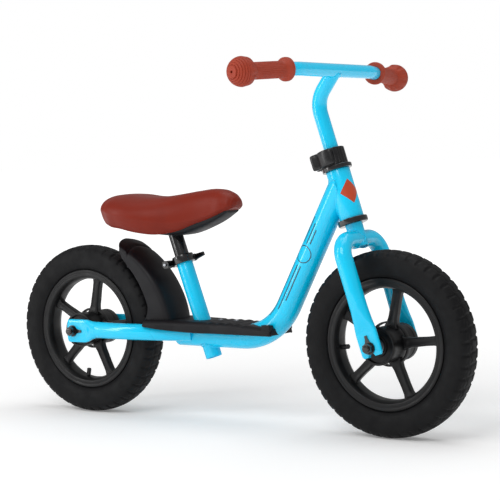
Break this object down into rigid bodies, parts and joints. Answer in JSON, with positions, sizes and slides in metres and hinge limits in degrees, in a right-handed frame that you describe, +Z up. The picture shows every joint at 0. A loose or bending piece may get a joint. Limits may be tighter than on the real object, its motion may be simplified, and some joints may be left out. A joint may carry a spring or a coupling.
{
  "type": "balance bike",
  "caption": "Toddler's push-along balance bike with a bent tube frame, footrest, rear mudguard, moulded spoked wheels, and a saddle and handlebar that slide once their levers are opened.",
  "frame": {"origin": "on the ground, midway between the two axles, in the bike's middle plane", "axes": "+X forwards, +Y to the rider's left, +Z up"},
  "size_m": [0.929, 0.5084, 0.6117],
  "materials": {
    "frame_paint": "glossy light blue metallic paint",
    "wheel_plastic": "black moulded nylon, satin",
    "guard_plastic": "black moulded plastic, satin",
    "fitting_plastic": "black moulded plastic",
    "black_metal": "gloss black coating",
    "plain_steel": "zinc plated",
    "tyre_rubber": "black rubber with a blocky tread",
    "tube_rubber": "thin black rubber",
    "grip_rubber": "matt brown-red rubber",
    "saddle_cover": "red-brown coated cover, satin"
  },
  "bodies": {
    "frame": {"main_tube": "frame_paint", "head_tube": "frame_paint", "seat_tube": "frame_paint", "right_stay": "frame_paint", "left_stay": "frame_paint", "footrest": "guard_plastic", "footrest_front_bracket": "frame_paint", "footrest_rear_bracket": "frame_paint", "footrest_front_screw": "plain_steel", "footrest_rear_screw": "plain_steel", "rear_mudguard": "guard_plastic", "lower_headset_cover": "black_metal", "upper_headset_cover": "black_metal", "lower_headset_bearing": "plain_steel", "upper_headset_bearing": "plain_steel", "seat_clamp": "black_metal", "seat_clamp_bolt": "plain_steel", "seat_clamp_nut": "plain_steel", "rear_axle": "plain_steel", "rear_left_nut": "black_metal", "rear_right_nut": "black_metal", "rear_left_tab_washer": "black_metal", "rear_right_tab_washer": "black_metal", "rear_left_spacer": "plain_steel", "rear_right_spacer": "plain_steel"},
    "rear_wheel": {"rear_wheel": "wheel_plastic", "rear_tyre": "tyre_rubber", "rear_inner_tube": "tube_rubber", "rear_valve_cap": "fitting_plastic", "rear_left_bearing": "plain_steel", "rear_right_bearing": "plain_steel"},
    "fork": {"fork_steerer": "frame_paint", "right_fork_leg": "frame_paint", "left_fork_leg": "frame_paint", "front_axle": "plain_steel", "front_left_nut": "black_metal", "front_right_nut": "black_metal", "front_left_tab_washer": "black_metal", "front_right_tab_washer": "black_metal", "front_left_spacer": "plain_steel", "front_right_spacer": "plain_steel", "handlebar_clamp": "fitting_plastic", "handlebar_clamp_bolt": "plain_steel"},
    "front_wheel": {"front_wheel": "wheel_plastic", "front_tyre": "tyre_rubber", "front_inner_tube": "tube_rubber", "front_valve_cap": "fitting_plastic", "front_left_bearing": "plain_steel", "front_right_bearing": "plain_steel"},
    "handlebar_lever": {"handlebar_clamp_lever": "fitting_plastic"},
    "handlebar": {"stem": "frame_paint", "handlebar": "frame_paint", "right_grip": "grip_rubber", "left_grip": "grip_rubber"},
    "seat": {"seat_post": "black_metal", "saddle_pad": "saddle_cover", "saddle_base": "fitting_plastic", "saddle_bolt": "plain_steel"},
    "seat_lever": {"seat_clamp_lever": "black_metal"}
  },
  "joints": [
    {"name": "steering", "type": "hinge", "parent": "frame", "child": "fork", "pos_m": [0.3125, 0, 0.152], "axis": [-0.309, 0, 0.9511], "range_deg": [-90, 90]},
    {"name": "front_wheel_spin", "type": "hinge", "parent": "fork", "child": "front_wheel", "pos_m": [0.3125, 0, 0.152], "axis": [0, 1, 0], "continuous": true},
    {"name": "rear_wheel_spin", "type": "hinge", "parent": "frame", "child": "rear_wheel", "pos_m": [-0.3125, 0, 0.152], "axis": [0, 1, 0], "continuous": true},
    {"name": "handlebar_lever", "type": "hinge", "parent": "fork", "child": "handlebar_lever", "pos_m": [0.18908, -0.016, 0.44448], "axis": [0.309, 0, -0.9511], "range_deg": [0, 120]},
    {"name": "handlebar_height", "type": "slide", "parent": "fork", "child": "handlebar", "axis": [-0.309, 0, 0.9511], "range_m": [-0.04, 0.045]},
    {"name": "seat_lever", "type": "hinge", "parent": "frame", "child": "seat_lever", "pos_m": [-0.12338, 0.015, 0.27236], "axis": [-0.342, 0, 0.9397], "range_deg": [0, 120]},
    {"name": "seat_height", "type": "slide", "parent": "frame", "child": "seat", "axis": [-0.342, 0, 0.9397], "range_m": [-0.025, 0.055]}
  ]
}
